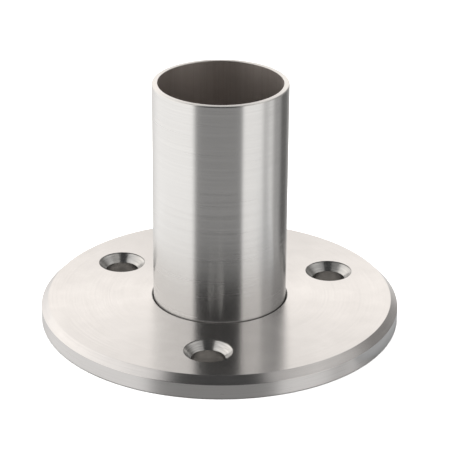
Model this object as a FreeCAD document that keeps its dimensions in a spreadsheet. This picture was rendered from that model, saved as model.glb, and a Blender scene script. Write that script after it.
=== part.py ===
import FreeCAD, Part
import os
import Sketcher

# Floor anchor plate: a turned round plate with three countersunk bolt holes, and a short
# stub of round tube that stands in the plate's centre bore and is welded to it from below.
# The origin is the centre of the plate's underside, and +Z runs up along the tube.

# Driving dimensions, in millimetres and degrees: name, value, meaning
DIMENSIONS = [
    ("plate_diameter", 130.0, "outside of the round plate"),
    ("plate_thickness", 8.0, "underside to top face"),
    ("rim_chamfer", 2.5, "45 degree chamfer round the plate's top edge"),
    ("base_edge_break", 0.3, "small chamfer round the plate's lower edge"),
    ("tube_diameter", 48.3, "outside of the tube"),
    ("tube_wall", 2.0, "wall of the tube"),
    ("tube_above_plate", 82.0, "top face of the plate up to the tube's rim"),
    ("tube_recess", 2.0, "underside of the plate up to the tube's foot"),
    ("rim_outer_round", 0.5, "rounding of the rim's outer edge"),
    ("rim_inner_round", 0.2, "rounding of the rim's inner edge"),
    ("bore_clearance", 0.1, "gap all round between the tube and the plate's bore"),
    ("bore_mouth", 0.55, "chamfer at the top of the plate's bore"),
    ("bolt_circle_diameter", 90.0, "diameter of the circle through the bolt holes' centres"),
    ("bolt_count", 3, "number of bolt holes, evenly spaced"),
    ("bolt_hole", 12.0, "diameter of a bolt hole"),
    ("sink_diameter", 17.2, "diameter of the countersink at the top face"),
    ("sink_land", 0.4, "straight wall above the countersink's cone"),
    ("sink_angle", 90.0, "full angle of the countersink's cone"),
    ("weld_root", 1.0, "height of the weld beside the tube, above the tube's foot"),
    ("weld_toe_lift", 0.3, "underside up to the weld's toe, so that the plate sits flat"),
    ("weld_lip", 0.4, "bare edge of the tube's foot inside the weld"),
    ("weld_face_radius", 6.0, "radius of the weld's bulging face, in section"),
]

# Dimensions that follow from the driving ones, as formulas of the sheet
TUBE_RADIUS = "sizes.tube_diameter / 2"
TUBE_INSIDE_RADIUS = "sizes.tube_diameter / 2 - sizes.tube_wall"
BORE_RADIUS = "sizes.tube_diameter / 2 + sizes.bore_clearance"
PLATE_RADIUS = "sizes.plate_diameter / 2"
TUBE_LENGTH = "sizes.plate_thickness + sizes.tube_above_plate - sizes.tube_recess"
WELD_BEVEL = "sizes.tube_recess + sizes.weld_root"

# What a constraint calls the sketch's origin
ORIGIN = (-1, 1)

# How far an edge may lie from the place it is looked for
TOLERANCE = 0.001

doc = FreeCAD.newDocument("floor_anchor_plate")
sheet = doc.addObject("Spreadsheet::Sheet", "sizes")
for row, (alias, value, meaning) in enumerate(DIMENSIONS, start=1):
    sheet.set("A%d" % row, alias)
    sheet.set("B%d" % row, str(value))
    sheet.set("C%d" % row, meaning)
    sheet.setAlias("B%d" % row, alias)
doc.recompute()


def value_of(formula):
    """The number that a formula of the sheet gives now."""
    return float(sheet.evalExpression(formula))


def add_body(label):
    """Start one piece of the object; its label also names its file."""
    body = doc.addObject("PartDesign::Body", label)
    body.Label = label
    body.Placement = FreeCAD.Placement()
    return body


def origin_part(body, role):
    """A plane or an axis of the body's own origin."""
    return next(item for item in body.Origin.OriginFeatures if item.Role == role)


def add_sketch(body, name, plane, lift=None):
    """A sketch on a plane of the body's origin, raised by a formula where one is given."""
    sketch = body.newObject("Sketcher::SketchObject", name)
    sketch.AttachmentSupport = [(origin_part(body, plane), "")]
    sketch.MapMode = "FlatFace"
    if lift:
        sketch.setExpression("AttachmentOffset.Base.z", lift)
    return sketch


def line(sketch, start, end):
    """A straight line of a sketch, and its number."""
    segment = Part.LineSegment(FreeCAD.Vector(*start, 0), FreeCAD.Vector(*end, 0))
    return sketch.addGeometry(segment, False)


def circle(sketch, centre, radius):
    """A full circle of a sketch, and its number."""
    upward = FreeCAD.Vector(0, 0, 1)
    return sketch.addGeometry(Part.Circle(FreeCAD.Vector(*centre, 0), upward, radius), False)


def start_of(curve):
    """The first end of a line or an arc, as a constraint names it."""
    return curve, 1


def end_of(curve):
    """The second end of a line or an arc, as a constraint names it."""
    return curve, 2


def centre_of(curve):
    """The centre of a circle or an arc, as a constraint names it."""
    return curve, 3


def put_on_axis(sketch, point, axis):
    """Hold a point on the sketch's own horizontal or vertical axis."""
    number = {"horizontal": -1, "vertical": -2}[axis]
    sketch.addConstraint(Sketcher.Constraint("PointOnObject", *point, number))


def tie(sketch, kind, *places):
    """A constraint without a size, such as Coincident or Horizontal."""
    sketch.addConstraint(Sketcher.Constraint(kind, *places))


def size(sketch, name, formula, kind, *places):
    """A constraint with a size, which follows a formula of the sheet."""
    number = sketch.addConstraint(Sketcher.Constraint(kind, *places, value_of(formula)))
    sketch.renameConstraint(number, name)
    sketch.setExpression("Constraints." + name, formula)


def ring_edges(feature, radius_formula, height_formula):
    """Names of the feature's edges that are full circles about Z of that radius and height."""
    radius = value_of(radius_formula)
    height = value_of(height_formula)
    names = []
    for number, edge in enumerate(feature.Shape.Edges, start=1):
        if not isinstance(edge.Curve, Part.Circle):
            continue
        middle = edge.Curve.Center
        on_axis = abs(middle.x) < TOLERANCE and abs(middle.y) < TOLERANCE
        at_height = abs(middle.z - height) < TOLERANCE
        if on_axis and at_height and abs(edge.Curve.Radius - radius) < TOLERANCE:
            names.append("Edge%d" % number)
    return names


def break_ring(body, kind, name, radius_formula, height_formula, size_name, size_formula):
    """Chamfer or round one circular edge of the body as it is so far."""
    doc.recompute()
    base = body.Tip
    feature = body.newObject("PartDesign::" + kind, name)
    feature.Base = (base, ring_edges(base, radius_formula, height_formula))
    feature.setExpression(size_name, size_formula)
    body.Tip = feature


def revolve(body, sketch, name):
    """Turn a half section all the way round the upright axis."""
    feature = body.newObject("PartDesign::Revolution", name)
    feature.Profile = sketch
    feature.ReferenceAxis = (sketch, ["V_Axis"])
    feature.Angle = 360.0


def make_base_plate():
    """The round plate: faced and turned, bored for the tube, then drilled and countersunk."""
    body = add_body("base_plate")
    inner = value_of(BORE_RADIUS)
    outer = value_of(PLATE_RADIUS)
    top = value_of("sizes.plate_thickness")

    # Half section of the blank, before its edges are broken
    section = add_sketch(body, "plate_section", "XZ_Plane")
    floor = line(section, (inner, 0), (outer, 0))
    side = line(section, (outer, 0), (outer, top))
    face = line(section, (outer, top), (inner, top))
    bore = line(section, (inner, top), (inner, 0))
    for one, following in ((floor, side), (side, face), (face, bore), (bore, floor)):
        tie(section, "Coincident", *end_of(one), *start_of(following))
    tie(section, "Horizontal", face)
    tie(section, "Vertical", side)
    tie(section, "Vertical", bore)
    put_on_axis(section, start_of(floor), "horizontal")
    put_on_axis(section, end_of(floor), "horizontal")
    size(section, "bore_radius", BORE_RADIUS, "DistanceX", *ORIGIN, *start_of(floor))
    size(section, "plate_radius", PLATE_RADIUS, "DistanceX", *ORIGIN, *end_of(floor))
    size(section, "thickness", "sizes.plate_thickness", "DistanceY", *start_of(side), *end_of(side))
    revolve(body, section, "turned_blank")

    break_ring(body, "Chamfer", "top_edge_chamfer", PLATE_RADIUS, "sizes.plate_thickness",
               "Size", "sizes.rim_chamfer")
    break_ring(body, "Chamfer", "lower_edge_chamfer", PLATE_RADIUS, "0",
               "Size", "sizes.base_edge_break")
    break_ring(body, "Chamfer", "bore_mouth_chamfer", BORE_RADIUS, "sizes.plate_thickness",
               "Size", "sizes.bore_mouth")
    break_ring(body, "Chamfer", "weld_bevel", BORE_RADIUS, "0", "Size", WELD_BEVEL)

    # One bolt hole stands on the -Y side, and the others follow round the plate
    centres = add_sketch(body, "bolt_hole_centre", "XY_Plane", "sizes.plate_thickness")
    away = value_of("sizes.bolt_circle_diameter / 2")
    mark = circle(centres, (0, -away), value_of("sizes.bolt_hole / 2"))
    put_on_axis(centres, centre_of(mark), "vertical")
    size(centres, "from_centre", "sizes.bolt_circle_diameter / 2",
         "DistanceY", *centre_of(mark), *ORIGIN)
    size(centres, "hole_radius", "sizes.bolt_hole / 2", "Radius", mark)
    doc.recompute()
    hole = body.newObject("PartDesign::Hole", "countersunk_hole")
    hole.Profile = centres
    hole.DepthType = "ThroughAll"
    hole.HoleCutType = "Counterdrill"
    hole.setExpression("Diameter", "sizes.bolt_hole")
    hole.setExpression("HoleCutDiameter", "sizes.sink_diameter")
    hole.setExpression("HoleCutDepth", "sizes.sink_land")
    hole.setExpression("HoleCutCountersinkAngle", "sizes.sink_angle")
    body.Tip = hole
    doc.recompute()

    pattern = body.newObject("PartDesign::PolarPattern", "bolt_hole_pattern")
    pattern.Originals = [hole]
    pattern.Axis = (origin_part(body, "Z_Axis"), [""])
    pattern.Angle = 360.0
    pattern.setExpression("Occurrences", "sizes.bolt_count")
    body.Tip = pattern
    return body


def make_post_tube():
    """The tube stub: sawn to length, its foot a little above the plate's underside."""
    body = add_body("post_tube")
    section = add_sketch(body, "tube_section", "XY_Plane", "sizes.tube_recess")
    for name, formula in (("outside", TUBE_RADIUS), ("inside", TUBE_INSIDE_RADIUS)):
        ring = circle(section, (0, 0), value_of(formula))
        tie(section, "Coincident", *centre_of(ring), *ORIGIN)
        size(section, name, formula, "Radius", ring)
    pad = body.newObject("PartDesign::Pad", "tube_length")
    pad.Profile = section
    pad.setExpression("Length", TUBE_LENGTH)

    rim_height = "sizes.plate_thickness + sizes.tube_above_plate"
    break_ring(body, "Fillet", "rim_outer_edge", TUBE_RADIUS, rim_height,
               "Radius", "sizes.rim_outer_round")
    break_ring(body, "Fillet", "rim_inner_edge", TUBE_INSIDE_RADIUS, rim_height,
               "Radius", "sizes.rim_inner_round")
    return body


def make_weld():
    """The weld: it fills the bevel of the bore and laps onto the tube's foot."""
    body = add_body("weld_bead")
    lip = value_of(TUBE_INSIDE_RADIUS + " + sizes.weld_lip")
    wall = value_of(TUBE_RADIUS)
    bore = value_of(BORE_RADIUS)
    foot = value_of("sizes.tube_recess")
    root = value_of(WELD_BEVEL)
    toe_height = value_of("sizes.weld_toe_lift")
    toe = bore + root - toe_height

    section = add_sketch(body, "weld_section", "XZ_Plane")
    on_foot = line(section, (lip, foot), (wall, foot))
    on_wall = line(section, (wall, foot), (wall, root))
    in_gap = line(section, (wall, root), (bore, root))
    on_bevel = line(section, (bore, root), (toe, toe_height))

    # The face bulges downwards between the toe and the tube's foot, about a centre above it
    radius = value_of("sizes.weld_face_radius")
    chord = FreeCAD.Vector(toe - lip, toe_height - foot, 0)
    middle = FreeCAD.Vector((toe + lip) / 2, (toe_height + foot) / 2, 0)
    rise = (radius ** 2 - (chord.Length / 2) ** 2) ** 0.5
    centre = middle + FreeCAD.Vector(-chord.y, chord.x, 0).normalize() * rise
    lowest = centre + (middle - centre).normalize() * radius
    arc = Part.Arc(FreeCAD.Vector(lip, foot, 0), lowest, FreeCAD.Vector(toe, toe_height, 0))
    bulge = section.addGeometry(arc, False)

    for one, following in ((on_foot, on_wall), (on_wall, in_gap), (in_gap, on_bevel)):
        tie(section, "Coincident", *end_of(one), *start_of(following))
    tie(section, "Coincident", *start_of(bulge), *start_of(on_foot))
    tie(section, "Coincident", *end_of(bulge), *end_of(on_bevel))
    tie(section, "Horizontal", on_foot)
    tie(section, "Vertical", on_wall)
    tie(section, "Horizontal", in_gap)
    size(section, "lip_radius", TUBE_INSIDE_RADIUS + " + sizes.weld_lip",
         "DistanceX", *ORIGIN, *start_of(on_foot))
    size(section, "wall_radius", TUBE_RADIUS, "DistanceX", *ORIGIN, *end_of(on_foot))
    size(section, "foot_height", "sizes.tube_recess", "DistanceY", *ORIGIN, *end_of(on_foot))
    size(section, "root_height", "sizes.weld_root", "DistanceY", *start_of(on_wall), *end_of(on_wall))
    size(section, "gap_width", "sizes.bore_clearance", "DistanceX", *start_of(in_gap), *end_of(in_gap))
    size(section, "bevel_run", WELD_BEVEL + " - sizes.weld_toe_lift",
         "DistanceX", *start_of(on_bevel), *end_of(on_bevel))
    size(section, "toe_height", "sizes.weld_toe_lift", "DistanceY", *ORIGIN, *end_of(on_bevel))
    size(section, "face_radius", "sizes.weld_face_radius", "Radius", bulge)
    revolve(body, section, "weld_ring")
    return body


def check_document(bodies):
    """Stop if an object failed, a sketch is loose, or a piece is not one valid solid."""
    doc.recompute()
    for item in doc.Objects:
        if "Invalid" in item.State or "Error" in item.State:
            raise RuntimeError("%s failed: %s" % (item.Name, item.State))
        if item.isDerivedFrom("Sketcher::SketchObject") and not item.FullyConstrained:
            raise RuntimeError("%s is not fully constrained" % item.Name)
    for body in bodies:
        shape = body.Shape
        if shape.isNull() or not shape.isValid() or len(shape.Solids) != 1:
            raise RuntimeError("%s is not one valid solid" % body.Label)


pieces = [make_base_plate(), make_post_tube(), make_weld()]
check_document(pieces)
os.makedirs("parts", exist_ok=True)
for piece in pieces:
    piece.Shape.exportStep(os.path.join("parts", piece.Label + ".step"))
    print("%-12s %10.1f mm3  %s" % (piece.Label, piece.Shape.Volume, piece.Shape.BoundBox))
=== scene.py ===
"""Floor anchor plate: its turned plate, polished tube and weld, finished as in the studio."""
import math

import bmesh
import bpy
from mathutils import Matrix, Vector


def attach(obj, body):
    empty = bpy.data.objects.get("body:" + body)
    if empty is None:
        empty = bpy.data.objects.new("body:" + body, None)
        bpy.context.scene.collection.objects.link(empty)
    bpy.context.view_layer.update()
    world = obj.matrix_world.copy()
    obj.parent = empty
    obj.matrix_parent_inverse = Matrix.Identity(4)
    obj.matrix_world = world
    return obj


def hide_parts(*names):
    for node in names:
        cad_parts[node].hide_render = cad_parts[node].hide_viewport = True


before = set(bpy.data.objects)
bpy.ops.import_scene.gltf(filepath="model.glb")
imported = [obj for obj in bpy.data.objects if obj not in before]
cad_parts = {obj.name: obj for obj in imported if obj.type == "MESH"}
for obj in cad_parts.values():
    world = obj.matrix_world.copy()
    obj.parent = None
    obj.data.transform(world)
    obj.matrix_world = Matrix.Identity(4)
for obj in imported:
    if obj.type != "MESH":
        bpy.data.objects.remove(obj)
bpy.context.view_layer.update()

MM = 0.001

# Sizes of the real piece, in millimetres, as the CAD frame has them
PLATE_RADIUS = 65.0
PLATE_THICKNESS = 8.0
RIM_CHAMFER = 2.5
BASE_EDGE_BREAK = 0.3
BORE_RADIUS = 24.25
BORE_MOUTH = 0.55
WELD_BEVEL = 3.0
TUBE_RADIUS = 24.15
TUBE_INSIDE_RADIUS = 22.15
TUBE_FOOT = 2.0
TUBE_RIM = 90.0
RIM_OUTER_ROUND = 0.5
RIM_INNER_ROUND = 0.2
BOLT_CIRCLE_RADIUS = 45.0
BOLT_ANGLES = (-90, 30, 150)
BOLT_HOLE_RADIUS = 6.0
SINK_RADIUS = 8.6
SINK_LAND = 0.4
WELD_TOE_LIFT = 0.3
WELD_LIP = 0.4

# The weld bead's bulge: where its face would come to a point, and how far that is rounded
BULGE_RADIUS = 24.39
BULGE_HEIGHT = 0.21
BULGE_ROUND = 2.5

# The weld's ripples, about 1.3 mm apart; their middle lags behind by a turn at each depth
RIPPLES = 120
RINGS_PER_RIPPLE = 6
RIPPLE_HEIGHT = 0.2
RIPPLE_LAG_DEGREES = 0.45
RIPPLE_LAG_DEPTHS = (0.35, 0.7, 1.05)

# A turned corner is never knife sharp: the tool and a light deburr leave this much
DEBURR = 0.1
HOLE_DEBURR = 0.05

# Faces round a turned piece, and round the cutter of a bolt hole
LATHE_STEPS = 240
CUTTER_STEPS = 96

# How far the cutter runs past the plate on either side
CUTTER_OVERRUN = 2.0

# How far a corner or face may lie from the place it is looked for
SLACK = 0.01

# Round pieces are shaded smooth over corners up to the first angle, in degrees, and the
# deburr breaks the plate's corners above the second
SMOOTH_BELOW = 30
DEBURR_ABOVE = 35

# Where the plate's and the tube's finishes change: how far a hole's finish reaches past its
# edge, how upright its faces are, how thin a turned skin is, and how far the groove reaches
HOLE_REACH = 0.2
FLAT_NORMAL = 0.95
SKIN = 0.05
GROOVE_REACH = 0.1

# The sheets on the studio floor, in millimetres. Each lies a hair lower than the last, so
# that none touches another; the shade reaches a little past the plate's edge.
SHADE_EDGE = 0.2
SHADE_DROP = 0.02
SHADE_STEPS = 96
CARD_SIZE = 50
CARD_PLACE = (84, -14, -0.03)
FLOOR_SIZE = 30000
FLOOR_DROP = 0.05


def colour(code):
    """An sRGB hex colour as the linear values that Blender works in."""
    channels = [int(code[start:start + 2], 16) / 255 for start in (1, 3, 5)]
    return (*[c / 12.92 if c <= 0.04045 else ((c + 0.055) / 1.055) ** 2.4 for c in channels], 1.0)


def add_node(tree, kind, inputs=None, **settings):
    """Add a node with its settings; an input is given a value or is linked from another node."""
    node = tree.nodes.new(kind)
    for name, value in settings.items():
        setattr(node, name, value)
    for name, value in (inputs or {}).items():
        if isinstance(value, bpy.types.NodeSocket):
            tree.links.new(value, node.inputs[name])
        else:
            node.inputs[name].default_value = value
    return node


def pick(kind, wanted):
    """In edit mode, select only the corners, edges or faces whose middle passes the test."""
    bpy.ops.mesh.select_mode(type={"verts": "VERT", "edges": "EDGE", "faces": "FACE"}[kind])
    bpy.ops.mesh.select_all(action="DESELECT")
    mesh = bpy.context.object.data
    shape = bmesh.from_edit_mesh(mesh)
    for item in getattr(shape, kind):
        corners = [item] if kind == "verts" else item.verts
        middle = sum((corner.co for corner in corners), Vector()) / len(corners)
        if wanted(middle / MM):
            item.select_set(True)
    shape.select_flush_mode()
    bmesh.update_edit_mesh(mesh)


def start_half_section(name, inner, outer, low, high):
    """A flat rectangle on the XZ plane, from the inner to the outer radius, left in edit mode."""
    bpy.ops.object.select_all(action="DESELECT")
    bpy.ops.mesh.primitive_plane_add(
        size=MM,
        location=((inner + outer) / 2 * MM, 0, (low + high) / 2 * MM),
        rotation=(math.radians(90), 0, 0),
    )
    piece = bpy.context.object
    piece.name = name
    piece.data.name = name
    piece.scale = (outer - inner, high - low, 1)
    bpy.ops.object.transform_apply(location=True, rotation=True, scale=True)
    bpy.ops.object.mode_set(mode="EDIT")
    return piece


def cut_corner(radius, height, size, segments=1):
    """Chamfer one corner of the half section, or round it where it has more segments."""
    pick("verts", lambda at: abs(at.x - radius) < SLACK and abs(at.z - height) < SLACK)
    bpy.ops.mesh.bevel(offset=size * MM, segments=segments, affect="VERTICES")


def turn_on_lathe(steps=LATHE_STEPS):
    """Spin the outline of the half section all the way round the upright axis, into a shell."""
    bpy.ops.mesh.select_all(action="SELECT")
    bpy.ops.mesh.delete(type="ONLY_FACE")
    bpy.ops.mesh.select_all(action="SELECT")
    bpy.ops.mesh.spin(steps=steps, angle=math.radians(360), center=(0, 0, 0), axis=(0, 0, 1))
    bpy.ops.mesh.select_all(action="SELECT")
    bpy.ops.mesh.remove_doubles(threshold=0.001 * MM)
    bpy.ops.mesh.normals_make_consistent(inside=False)


def finish_piece(piece, node, slot, *materials):
    """Shade the piece, give it its materials and let it stand for its CAD node."""
    bpy.ops.object.mode_set(mode="OBJECT")
    bpy.ops.object.select_all(action="DESELECT")
    piece.select_set(True)
    bpy.context.view_layer.objects.active = piece
    bpy.ops.object.shade_smooth_by_angle(angle=math.radians(SMOOTH_BELOW))
    # Large faces set the shading, so that a flat face stays flat up to its rounded edge
    even = piece.modifiers.new("even_shading", "WEIGHTED_NORMAL")
    even.keep_sharp = True
    bpy.ops.object.modifier_apply(modifier=even.name)
    for material in materials:
        piece.data.materials.append(material)
    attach(piece, "root")
    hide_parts(node)


def ring_of(at):
    """Which of a ripple's rings a corner of the weld lies on."""
    part_turn = math.atan2(at.y, at.x) / (2 * math.pi) % 1
    return round(part_turn * RIPPLES * RINGS_PER_RIPPLE) % RINGS_PER_RIPPLE


def bead_depth(at):
    """How far a corner of the weld lies below the straight line from its lip to its toe."""
    lip, toe = TUBE_INSIDE_RADIUS + WELD_LIP, BORE_RADIUS + WELD_BEVEL - WELD_TOE_LIFT
    along = (math.hypot(at.x, at.y) - lip) / (toe - lip)
    chord = TUBE_FOOT + (WELD_TOE_LIFT - TUBE_FOOT) * along
    return chord - at.z


def on_bead_face(at):
    """True for the corners of the weld's bulging face, but not for its lip and toe."""
    return bead_depth(at) > 5 * SLACK


def bolt_centre(angle):
    """Where a bolt hole's axis stands on the plate, in metres."""
    turn = math.radians(angle)
    return Vector((math.cos(turn), math.sin(turn), 0)) * BOLT_CIRCLE_RADIUS * MM


def make_sink_cutter(angle):
    """The drill and countersink that cut one bolt hole, as one solid."""
    centre = bolt_centre(angle)
    cone_foot = PLATE_THICKNESS - SINK_LAND - (SINK_RADIUS - BOLT_HOLE_RADIUS)
    low = -CUTTER_OVERRUN
    bpy.ops.object.select_all(action="DESELECT")
    bpy.ops.mesh.primitive_cylinder_add(
        vertices=CUTTER_STEPS,
        radius=BOLT_HOLE_RADIUS * MM,
        depth=(cone_foot - low) * MM,
        location=(centre.x, centre.y, (cone_foot + low) / 2 * MM),
    )
    bpy.ops.object.transform_apply(location=True, rotation=True, scale=True)
    cutter = bpy.context.object
    bpy.ops.object.mode_set(mode="EDIT")
    pick("faces", lambda at: at.z > cone_foot - SLACK)
    cone_height = (SINK_RADIUS - BOLT_HOLE_RADIUS) * MM
    bpy.ops.mesh.extrude_region_move(TRANSFORM_OT_translate={"value": (0, 0, cone_height)})
    widen = SINK_RADIUS / BOLT_HOLE_RADIUS
    middle = (centre.x, centre.y, (PLATE_THICKNESS - SINK_LAND) * MM)
    bpy.ops.transform.resize(value=(widen, widen, 1), center_override=middle)
    land_height = (SINK_LAND + CUTTER_OVERRUN) * MM
    bpy.ops.mesh.extrude_region_move(TRANSFORM_OT_translate={"value": (0, 0, land_height)})
    bpy.ops.object.mode_set(mode="OBJECT")
    return cutter


def cut_bolt_holes(plate):
    """Drill and countersink the three bolt holes, then break their edges."""
    for angle in BOLT_ANGLES:
        cutter = make_sink_cutter(angle)
        bpy.ops.object.select_all(action="DESELECT")
        plate.select_set(True)
        bpy.context.view_layer.objects.active = plate
        cut = plate.modifiers.new("bolt_hole", "BOOLEAN")
        cut.operation = "DIFFERENCE"
        cut.solver = "EXACT"
        cut.object = cutter
        bpy.ops.object.modifier_apply(modifier=cut.name)
        bpy.data.objects.remove(cutter)
    deburr = plate.modifiers.new("deburred_edges", "BEVEL")
    deburr.width = HOLE_DEBURR * MM
    deburr.segments = 2
    deburr.limit_method = "ANGLE"
    deburr.angle_limit = math.radians(DEBURR_ABOVE)
    deburr.use_clamp_overlap = False
    bpy.ops.object.modifier_apply(modifier=deburr.name)


def make_base_plate():
    """The round plate, turned from its half section, then drilled."""
    plate = start_half_section("turned_base_plate", BORE_RADIUS, PLATE_RADIUS, 0, PLATE_THICKNESS)
    cut_corner(PLATE_RADIUS, PLATE_THICKNESS, RIM_CHAMFER)
    cut_corner(PLATE_RADIUS, 0, BASE_EDGE_BREAK)
    cut_corner(BORE_RADIUS, PLATE_THICKNESS, BORE_MOUTH)
    cut_corner(BORE_RADIUS, 0, WELD_BEVEL)
    bpy.ops.mesh.select_all(action="SELECT")
    bpy.ops.mesh.bevel(offset=DEBURR * MM, segments=3, affect="VERTICES")
    turn_on_lathe()
    bpy.ops.object.mode_set(mode="OBJECT")
    cut_bolt_holes(plate)
    finish_piece(plate, "base_plate", "turned_stainless", turned_plate_steel(),
                 sunk_hole_steel(), turned_rim_steel(), groove_steel())
    sunk_hole, rim, groove = 1, 2, 3
    for face in plate.data.polygons:
        radius = face.center.to_2d().length / MM
        height = face.center.z / MM
        nearest = min((face.center - bolt_centre(angle)).to_2d().length for angle in BOLT_ANGLES)
        if nearest < (SINK_RADIUS + HOLE_REACH) * MM and abs(face.normal.z) < FLAT_NORMAL:
            face.material_index = sunk_hole
        elif radius > PLATE_RADIUS - SKIN:
            face.material_index = rim
        # The groove's faces take the dark painted shade of the gap beside the tube
        elif radius < BORE_RADIUS + BORE_MOUTH + GROOVE_REACH and height > WELD_BEVEL:
            face.material_index = groove


def make_post_tube():
    """The tube stub: its rim is linished, so the outer corner is rounder than the inner one."""
    tube = start_half_section("polished_post_tube", TUBE_INSIDE_RADIUS, TUBE_RADIUS,
                              TUBE_FOOT, TUBE_RIM)
    cut_corner(TUBE_RADIUS, TUBE_RIM, RIM_OUTER_ROUND, segments=5)
    cut_corner(TUBE_INSIDE_RADIUS, TUBE_RIM, RIM_INNER_ROUND, segments=3)
    turn_on_lathe()
    finish_piece(tube, "post_tube", "polished_tube", polished_tube_steel(), drawn_inside_steel())
    inside = 1
    for face in tube.data.polygons:
        if face.center.to_2d().length < (TUBE_INSIDE_RADIUS + SKIN) * MM:
            face.material_index = inside


def make_weld():
    """The weld below, laid in the bevel by hand: overlapping ripples like a row of coins."""
    lip, foot = TUBE_INSIDE_RADIUS + WELD_LIP, TUBE_FOOT
    toe = BORE_RADIUS + WELD_BEVEL - WELD_TOE_LIFT
    root = (TUBE_RADIUS + BORE_RADIUS) / 2
    weld = start_half_section("rippled_weld_bead", lip, toe, WELD_TOE_LIFT, WELD_BEVEL)
    # The rectangle's corners move to the root, the toe, the lip and the point of the bulge
    for corner, place in (((toe, WELD_BEVEL), (root, WELD_BEVEL)),
                          ((toe, WELD_TOE_LIFT), (toe, WELD_TOE_LIFT)),
                          ((lip, WELD_TOE_LIFT), (BULGE_RADIUS, BULGE_HEIGHT)),
                          ((lip, WELD_BEVEL), (lip, foot))):
        pick("verts", lambda at, c=corner: abs(at.x - c[0]) < SLACK and abs(at.z - c[1]) < SLACK)
        move = ((place[0] - corner[0]) * MM, 0, (place[1] - corner[1]) * MM)
        bpy.ops.transform.translate(value=move)
    cut_corner(BULGE_RADIUS, BULGE_HEIGHT, BULGE_ROUND, segments=10)
    turn_on_lathe(RIPPLES * RINGS_PER_RIPPLE)

    # Each ripple is a step in the bead's face, and its middle lags behind its two sides
    for ring in range(1, RINGS_PER_RIPPLE):
        share = ring / RINGS_PER_RIPPLE
        pick("verts", lambda at, r=ring: ring_of(at) == r and on_bead_face(at))
        bpy.ops.transform.translate(value=(0, 0, -RIPPLE_HEIGHT * (1 - share) * MM))
    for depth in RIPPLE_LAG_DEPTHS:
        pick("verts", lambda at, d=depth: on_bead_face(at) and bead_depth(at) > d)
        bpy.ops.transform.rotate(value=math.radians(RIPPLE_LAG_DEGREES), orient_axis="Z",
                                 center_override=(0, 0, 0))
    finish_piece(weld, "weld_bead", "weld_metal", pickled_weld_steel())


def new_material(name):
    """An empty node material, its tree and the place on the piece, in metres."""
    material = bpy.data.materials.new(name)
    material.use_nodes = True
    tree = material.node_tree
    tree.nodes.clear()
    return material, tree, add_node(tree, "ShaderNodeTexCoord").outputs["Object"]


def noise(tree, place, size, detail, **more):
    """Noise whose spots measure some millimetres: one size, or one each along X, Y and Z."""
    scale = 1.0
    if isinstance(size, tuple):
        place = add_node(tree, "ShaderNodeMapping",
                         {"Vector": place, "Scale": [1 / side / MM for side in size]}).outputs[0]
    else:
        scale = 1 / size / MM
    return add_node(tree, "ShaderNodeTexNoise",
                    {"Vector": place, "Scale": scale, "Detail": detail, **more}).outputs[0]


def distance_from(tree, place, centre=(0, 0, 0)):
    """How far a place lies from an upright axis, in metres."""
    level = add_node(tree, "ShaderNodeVectorMath", {0: place, 1: (1, 1, 0)}, operation="MULTIPLY")
    return add_node(tree, "ShaderNodeVectorMath", {0: level.outputs[0], 1: centre},
                    operation="DISTANCE").outputs["Value"]


def tool_rings(tree, place, away, spacing, length, detail):
    """Noise in rings round an axis, their spacing and length in millimetres."""
    split = add_node(tree, "ShaderNodeSeparateXYZ", {"Vector": place})
    unrolled = add_node(tree, "ShaderNodeCombineXYZ",
                        {"X": away, "Y": split.outputs["X"], "Z": split.outputs["Y"]})
    return noise(tree, unrolled.outputs[0], (spacing, length, length), detail)


def blend(tree, share, low, high):
    """The colour that lies a share of the way from one colour to another."""
    return add_node(tree, "ShaderNodeMix", {0: share, 6: low, 7: high},
                    data_type="RGBA").outputs[2]


def stretch(tree, value, low, high, start=0.0, end=1.0):
    """Turn a value that runs from start to end into one that runs from low to high."""
    return add_node(tree, "ShaderNodeMapRange",
                    {"Value": value, "From Min": start, "From Max": end,
                     "To Min": low, "To Max": high}).outputs[0]


def relief(tree, height, depth, strength=0.5):
    """The surface tilted by marks of some depth in millimetres."""
    return add_node(tree, "ShaderNodeBump", {"Height": height, "Strength": strength,
                                             "Distance": depth * MM}).outputs[0]


def show(tree, **surface):
    """Finish a material with a plain surface."""
    inputs = {name.replace("_", " ").title(): value for name, value in surface.items()}
    shader = add_node(tree, "ShaderNodeBsdfPrincipled", inputs)
    add_node(tree, "ShaderNodeOutputMaterial", {"Surface": shader.outputs[0]})


def show_lined(tree, anisotropic, **surface):
    """Finish a material whose fine lines run round the axis and spread light across them."""
    round_axis = add_node(tree, "ShaderNodeTangent", direction_type="RADIAL", axis="Z")
    quarter_turn = 0.25
    show(tree, anisotropic=anisotropic, anisotropic_rotation=quarter_turn,
         tangent=round_axis.outputs[0], **surface)


def polished_tube_steel():
    """Drawn 304 tube, belt polished round and round: soft upright streaks of light with a
    hairline grain that runs level round the tube."""
    material, tree, place = new_material("belt_polished_stainless")
    # Belt lines are some 80 mm long and 0.1 mm apart; drawn 0.5 mm apart so that they show
    grain = noise(tree, place, (80, 80, 0.5), 3.0, Roughness=0.6)
    # Here and there the belt cuts deeper, for some 40 mm at a time, and the light scatters more
    score = noise(tree, place, (40, 40, 0.6), 3.0)
    show_lined(tree, 1.0, metallic=1.0,
               base_color=blend(tree, grain, colour("#D1D1D1"), colour("#DBDBDA")),
               roughness=stretch(tree, score, 0.225, 0.29, start=0.4, end=0.8),
               normal=relief(tree, grain, 0.004))
    return material


def drawn_inside_steel():
    """The tube's bore as it was drawn and annealed: never polished, so it is duller and
    browner, with fine streaks along the tube."""
    material, tree, place = new_material("drawn_stainless_bore")
    # Drawing lines are some 40 mm long and 0.6 mm apart
    streak = noise(tree, place, (0.6, 0.6, 40), 3.0)
    show(tree, metallic=1.0,
         base_color=blend(tree, streak, colour("#C2BBB7"), colour("#D6D1CE")),
         roughness=stretch(tree, streak, 0.42, 0.58),
         normal=relief(tree, streak, 0.01, strength=0.4))
    return material


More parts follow.
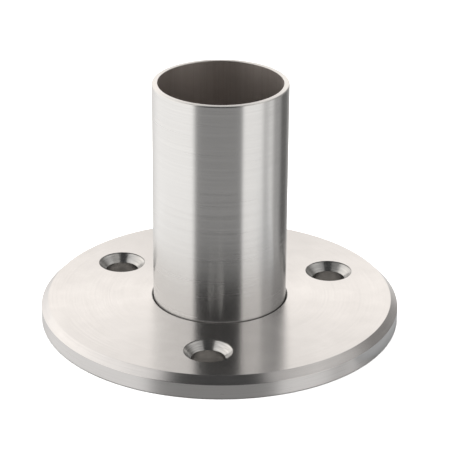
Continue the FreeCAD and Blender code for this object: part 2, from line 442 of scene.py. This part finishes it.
def turned_plate_steel():
    """304 plate faced on a lathe and satin ground: the tool's rings are too fine to count,
    but they spread the light towards the rim and the centre."""
    material, tree, place = new_material("turned_satin_stainless")
    # Rings are 0.1 mm apart; drawn 0.4 mm apart so that they show, and some 30 mm long
    ring = tool_rings(tree, place, distance_from(tree, place), 0.4, 30, 3.0)
    # The grinding leaves soft patches, some 9 mm across
    patch = noise(tree, place, 9, 4.0)
    both = add_node(tree, "ShaderNodeMix", {0: 0.6, 2: ring, 3: patch},
                    data_type="FLOAT").outputs[0]
    show_lined(tree, 0.9, metallic=1.0,
               base_color=blend(tree, both, colour("#C7C6C6"), colour("#E6E5E5")),
               roughness=stretch(tree, both, 0.20, 0.27),
               normal=relief(tree, ring, 0.0025))
    return material


def sunk_hole_steel():
    """Drilled and countersunk steel: brighter and coarser tool rings than on the faced top."""
    material, tree, place = new_material("countersunk_stainless")
    away, *others = [distance_from(tree, place, bolt_centre(angle)) for angle in BOLT_ANGLES]
    for other in others:
        away = add_node(tree, "ShaderNodeMath", {0: away, 1: other},
                        operation="MINIMUM").outputs[0]
    # Tool rings about 0.3 mm apart, a little uneven round the hole
    ring = tool_rings(tree, place, away, 0.3, 5, 2.0)
    show(tree, metallic=1.0,
         base_color=blend(tree, ring, colour("#9E9F9F"), colour("#DCDCDB")),
         roughness=stretch(tree, ring, 0.14, 0.24),
         normal=relief(tree, ring, 0.02, strength=0.6))
    return material


def turned_rim_steel():
    """The rim turned with a coarser feed: level tool lines that blur the light up and down, and
    a greyer tone than the ground top."""
    material, tree, place = new_material("turned_rim_stainless")
    # Feed lines are 0.15 mm apart; drawn 0.5 mm apart so that they show, and some 20 mm long
    line = noise(tree, place, (20, 20, 0.5), 3.0)
    show_lined(tree, 0.8, metallic=1.0,
               base_color=blend(tree, line, colour("#B7B6B5"), colour("#C8C7C7")),
               roughness=stretch(tree, line, 0.24, 0.34),
               normal=relief(tree, line, 0.01))
    return material


def groove_steel():
    """The narrow groove round the tube, coloured with painted shade: the shadow of the gap
    between tube and plate, dark and patchy, on a half-metallic, rough surface."""
    material, tree, place = new_material("compound_filled_groove")
    smear = noise(tree, place, 1.5, 3.0)
    # Painted shade: near-black browns standing in for the shadow in the gap beside the tube
    soiled = blend(tree, smear, colour("#2B2826"), colour("#4A4642"))
    # The painted shade fades from the tube to the groove's outer edge, where the steel shows
    clean = stretch(tree, distance_from(tree, place), 0.0, 1.0,
                    start=(BORE_RADIUS + 0.25) * MM, end=(BORE_RADIUS + BORE_MOUTH) * MM)
    show(tree, metallic=0.4,
         base_color=blend(tree, clean, soiled, colour("#BDBBB8")),
         roughness=stretch(tree, smear, 0.45, 0.65))
    return material


def pickled_weld_steel():
    """Stainless weld metal, pickled clean of its heat tint: a dull, slightly grainy grey."""
    material, tree, place = new_material("pickled_stainless_weld")
    # The acid leaves grains about 0.2 mm across, in softer patches of some 4 mm
    grain = noise(tree, place, 0.2, 3.0)
    patch = noise(tree, place, 4, 2.0)
    show(tree, metallic=1.0,
         base_color=blend(tree, patch, colour("#A5A29C"), colour("#C4C1BC")),
         roughness=stretch(tree, grain, 0.4, 0.58),
         normal=relief(tree, grain, 0.02))
    return material


def matt_board(name, spot, detail, dark, light):
    """A sheet of matt board, with the faint spots that its fibres give it."""
    material, tree, place = new_material(name)
    fibre = noise(tree, place, spot, detail)
    show(tree, roughness=0.9, base_color=blend(tree, fibre, colour(dark), colour(light)))
    return material


def pale_floor():
    """A sheet of matt white studio board: it looks like plain paper."""
    return matt_board("matt_white_board", 0.8, 2.0, "#F4F4F3", "#F8F8F7")


def shaded_floor():
    """The board under the plate, in painted shade: dark and patchy, as hardly any light reaches
    it.
    """
    return matt_board("board_in_shade", 2.5, 3.0, "#2A2725", "#86817C")


def grey_card():
    """A photographer's matt grey card: an even middle grey."""
    return matt_board("matt_grey_card", 0.8, 2.0, "#8D8E8F", "#959697")


def lay_floor():
    """The board that the plate stands on. Polished steel would mirror it as one white
    sheet, so it is kept out of the reflections, which the room below gives instead."""
    bpy.ops.object.select_all(action="DESELECT")
    bpy.ops.mesh.primitive_plane_add(size=FLOOR_SIZE * MM, location=(0, 0, -FLOOR_DROP * MM))
    floor = bpy.context.object
    floor.name = "floor"
    floor.data.materials.append(pale_floor())
    floor.visible_glossy = False

    # A grey card beside the plate, which only the steel sees: it lifts the plate's right side
    bpy.ops.object.select_all(action="DESELECT")
    bpy.ops.mesh.primitive_plane_add(size=CARD_SIZE * MM,
                                     location=[along * MM for along in CARD_PLACE])
    card = bpy.context.object
    card.name = "grey_card"
    card.data.materials.append(grey_card())

    # Painted shade: a dark sheet for the strip of floor in the plate's own shade, which its holes
    # and lower edge mirror
    bpy.ops.object.select_all(action="DESELECT")
    bpy.ops.mesh.primitive_circle_add(vertices=SHADE_STEPS,
                                      radius=(PLATE_RADIUS + SHADE_EDGE) * MM,
                                      fill_type="NGON", location=(0, 0, -SHADE_DROP * MM))
    shade = bpy.context.object
    shade.name = "floor_in_shade"
    shade.data.materials.append(shaded_floor())
    for sheet in (card, shade):
        sheet.visible_camera = False
        sheet.visible_diffuse = False
        sheet.visible_shadow = False


# The studio round the part, as the steel mirrors it: each stretch of wall from one bearing to
# another, in degrees from the camera's side towards +X. Between two stretches the light fades.
WALLS = [
    (-130, -48),  # the bright bank on the left
    (-40, 35),    # the gap in front, where the camera stands
    (40, 72),     # the weaker bank on the right
    (78, 86),     # a greyer gap beside it
    (90, 97),     # a narrow strip light
    (102, 118),   # a grey screen
    (124, 145),   # the dark corner behind on the right
    (165, 195),   # the bank behind
]

# How bright each stretch is at four heights, and how warm the light is there. The height is
# the sine of the angle above level; a warmth of 0 is neutral.
ROOM = [
    # Below level: what the tube and the plate's side mirror
    (-0.4, 0.3, (1.2, 0.45, 1.1, 0.7, 1.0, 0.5, 0.1, 0.7)),
    # Level: what the blur of their fine lines adds
    (0.0, 0.6, (1.2, 0.1, 1.1, 0.6, 0.7, 0.4, 0.4, 0.9)),
    # Above level: what the plate's top mirrors
    (0.4, 1.0, (1.4, 0.05, 1.1, 0.5, 0.4, 0.2, 0.2, 1.3)),
    # Steep: what the front of the chamfer and the countersinks mirror
    (0.8, 0.5, (1.0, 0.05, 0.6, 0.7, 0.8, 0.9, 0.9, 0.7)),
]
CEILING = 0.1

# What a warmth of 1 does to the red, green and blue of a light
WARM = (1.056, 1.0, 0.944)

# What the camera and the matt floor get from the room: a little over white
PLAIN_WHITE = 1.15

# The soft box overhead: its place and side in millimetres, and its power in watts
BOX_PLACE = (-300, 200, 1600)
BOX_SIDE = 2400
BOX_POWER = 60

# The camera as fitted to the outlines: its turn from the -Y side towards +X, its tilt from
# straight down and its roll in degrees, its distance and height, sensor and lens in millimetres
CAMERA_TURN = 4.87
CAMERA_TILT = 65.57
CAMERA_ROLL = -0.35
CAMERA_AWAY = 652.1
CAMERA_HEIGHT = 331.5
SENSOR = 36
LENS = 159.04


def add_ring(tree, part_turn, warmth, brightnesses):
    """The room's light at one height, by the share of a turn from the far side."""
    ring = add_node(tree, "ShaderNodeValToRGB", {"Fac": part_turn})
    elements = ring.color_ramp.elements
    # The last stretch lies across the far side, where the turn starts and ends
    last = brightnesses[-1]
    stops = [(-180, last), (WALLS[-1][1] - 360, last)]
    for (start, end), brightness in zip(WALLS[:-1], brightnesses):
        stops += [(start, brightness), (end, brightness)]
    stops += [(WALLS[-1][0], last), (180, last)]
    while len(elements) < len(stops):
        elements.new(0.5)
    for element, (degrees, brightness) in zip(elements, stops):
        element.position = (degrees + 180) / 360
        element.color = (*[brightness * (1 + (c - 1) * warmth) for c in WARM], 1)
    return ring.outputs[0]


def light_the_room():
    """The studio that the steel mirrors: a bright bank on the left and behind, a weaker one on
    the right, and the dark gap in front where the camera stands."""
    world = bpy.data.worlds.new("studio")
    bpy.context.scene.world = world
    world.use_nodes = True
    tree = world.node_tree
    tree.nodes.clear()
    way = add_node(tree, "ShaderNodeTexCoord").outputs["Generated"]
    split = add_node(tree, "ShaderNodeSeparateXYZ", {"Vector": way})
    front = add_node(tree, "ShaderNodeMath", {0: split.outputs["Y"], 1: -1.0},
                     operation="MULTIPLY")
    bearing = add_node(tree, "ShaderNodeMath", {0: split.outputs["X"], 1: front.outputs[0]},
                       operation="ARCTAN2")
    from_back = add_node(tree, "ShaderNodeMapRange",
                         {"Value": bearing.outputs[0],
                          "From Min": math.radians(CAMERA_TURN - 180),
                          "From Max": math.radians(CAMERA_TURN + 180)}, clamp=False)
    part_turn = add_node(tree, "ShaderNodeMath", {0: from_back.outputs[0]},
                         operation="FRACT").outputs[0]
    # From the lowest ring up, each ring takes over from the one below, and the ceiling last
    rings = [(height, add_ring(tree, part_turn, warmth, brightnesses))
             for height, warmth, brightnesses in ROOM]
    lower, light = rings[0]
    for height, ring in rings[1:] + [(1.0, (CEILING, CEILING, CEILING, 1))]:
        climb = stretch(tree, split.outputs["Z"], 0.0, 1.0, start=lower, end=height)
        light = blend(tree, climb, light, ring)
        lower = height
    # The camera sees the room as plain white, and the matt floor is lit by it as plain white
    mirrored = add_node(tree, "ShaderNodeBackground", {"Color": light})
    white = add_node(tree, "ShaderNodeBackground", {"Color": (1, 1, 1, 1),
                                                    "Strength": PLAIN_WHITE})
    path = add_node(tree, "ShaderNodeLightPath")
    plain = add_node(tree, "ShaderNodeMath", {0: path.outputs["Is Camera Ray"],
                                              1: path.outputs["Is Diffuse Ray"]},
                     operation="MAXIMUM")
    mixed = add_node(tree, "ShaderNodeMixShader",
                     {0: plain.outputs[0], 1: mirrored.outputs[0], 2: white.outputs[0]})
    add_node(tree, "ShaderNodeOutputWorld", {"Surface": mixed.outputs[0]})


def hang_soft_light():
    """One large soft box overhead, which whitens the floor and leaves only a faint shadow."""
    bpy.ops.object.select_all(action="DESELECT")
    bpy.ops.object.light_add(type="AREA", location=[along * MM for along in BOX_PLACE])
    box = bpy.context.object
    box.name = "soft_box"
    box.data.shape = "SQUARE"
    box.data.size = BOX_SIDE * MM
    box.data.energy = BOX_POWER
    box.visible_glossy = False


def place_camera():
    """The photograph's viewpoint: 24 degrees above level, with a long lens."""
    turn = math.radians(CAMERA_TURN)
    away = CAMERA_AWAY * MM
    bpy.ops.object.camera_add(
        location=(away * math.sin(turn), -away * math.cos(turn), CAMERA_HEIGHT * MM),
        rotation=(math.radians(CAMERA_TILT), math.radians(CAMERA_ROLL), turn),
    )
    camera = bpy.context.object
    camera.data.sensor_width = SENSOR
    camera.data.lens = LENS
    camera.data.dof.use_dof = False
    bpy.context.scene.camera = camera


make_base_plate()
make_post_tube()
make_weld()
lay_floor()
light_the_room()
hang_soft_light()
place_camera()

scene = bpy.context.scene
scene.view_settings.view_transform = "Standard"
scene.cycles.use_denoising = True
